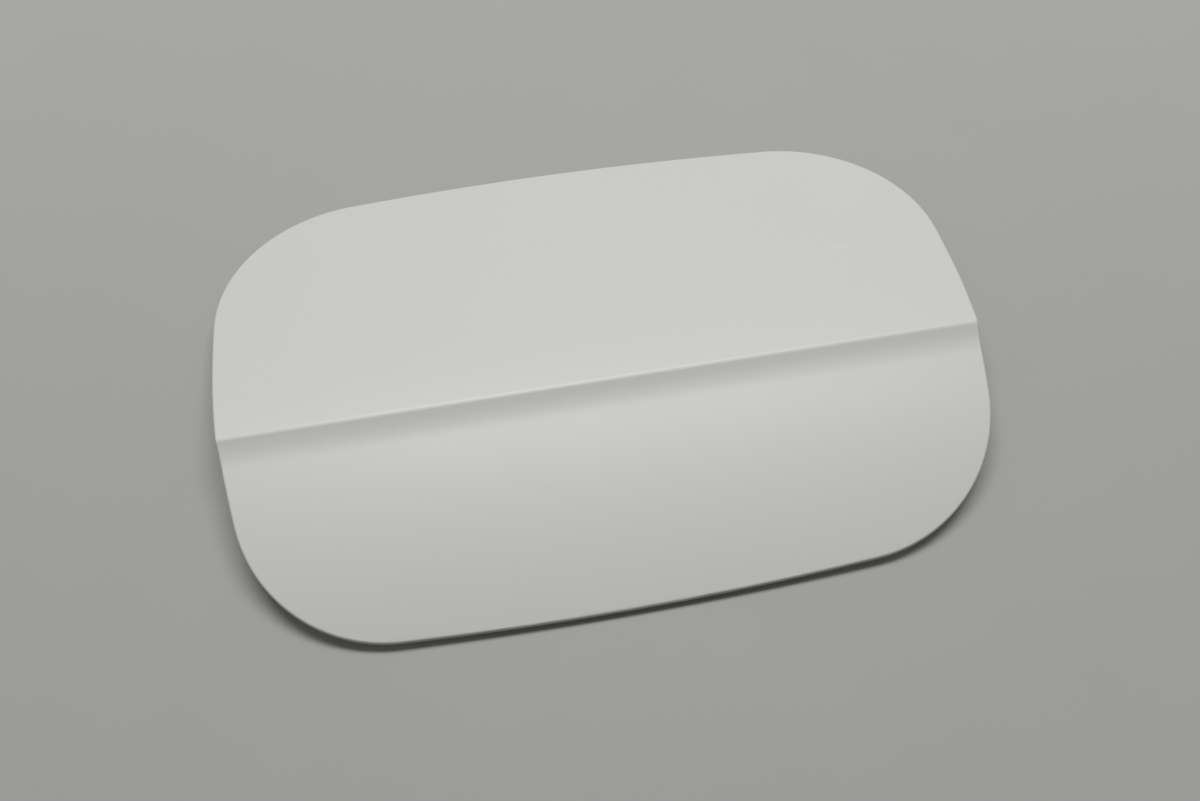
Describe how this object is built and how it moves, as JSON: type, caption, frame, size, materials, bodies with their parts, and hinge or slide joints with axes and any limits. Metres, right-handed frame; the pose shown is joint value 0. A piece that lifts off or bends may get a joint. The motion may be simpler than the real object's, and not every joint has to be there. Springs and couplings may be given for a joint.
{
  "type": "car fuel door",
  "caption": "Rounded rectangular car fuel door with a sharp crease along its painted face, hinged at one end, with a latch loop at the other.",
  "frame": {"origin": "under the middle of the door's outline, on the surface that the closed door lies on", "axes": "+X along the crease from the hinge end to the latch end, +Y up the door to its top edge, +Z out of the painted face"},
  "size_m": [0.1886, 0.1284, 0.0145],
  "materials": {
    "white_paint": "satin white paint on a thin pressed steel sheet",
    "black_moulding": "black, lightly grained",
    "plated_steel": "zinc plated",
    "bright_steel": "bright drawn steel",
    "spring_steel": "dark drawn wire",
    "bumper_rubber": "matt black rubber"
  },
  "bodies": {
    "hinge_base": {"hinge_bracket": "plated_steel", "hinge_pin": "bright_steel", "pin_clip": "bright_steel", "hinge_spring": "spring_steel"},
    "door": {"outer_skin": "white_paint", "inner_carrier": "black_moulding", "latch_striker": "plated_steel", "striker_screws": "bright_steel", "bumper_hinge_upper": "bumper_rubber", "bumper_hinge_lower": "bumper_rubber", "bumper_latch_upper": "bumper_rubber", "bumper_latch_lower": "bumper_rubber"}
  },
  "joints": [
    {"name": "door_swing", "type": "hinge", "parent": "hinge_base", "child": "door", "pos_m": [-0.08925, 0.00075, 0.0046], "axis": [0, -1, 0], "range_deg": [0, 80]}
  ]
}
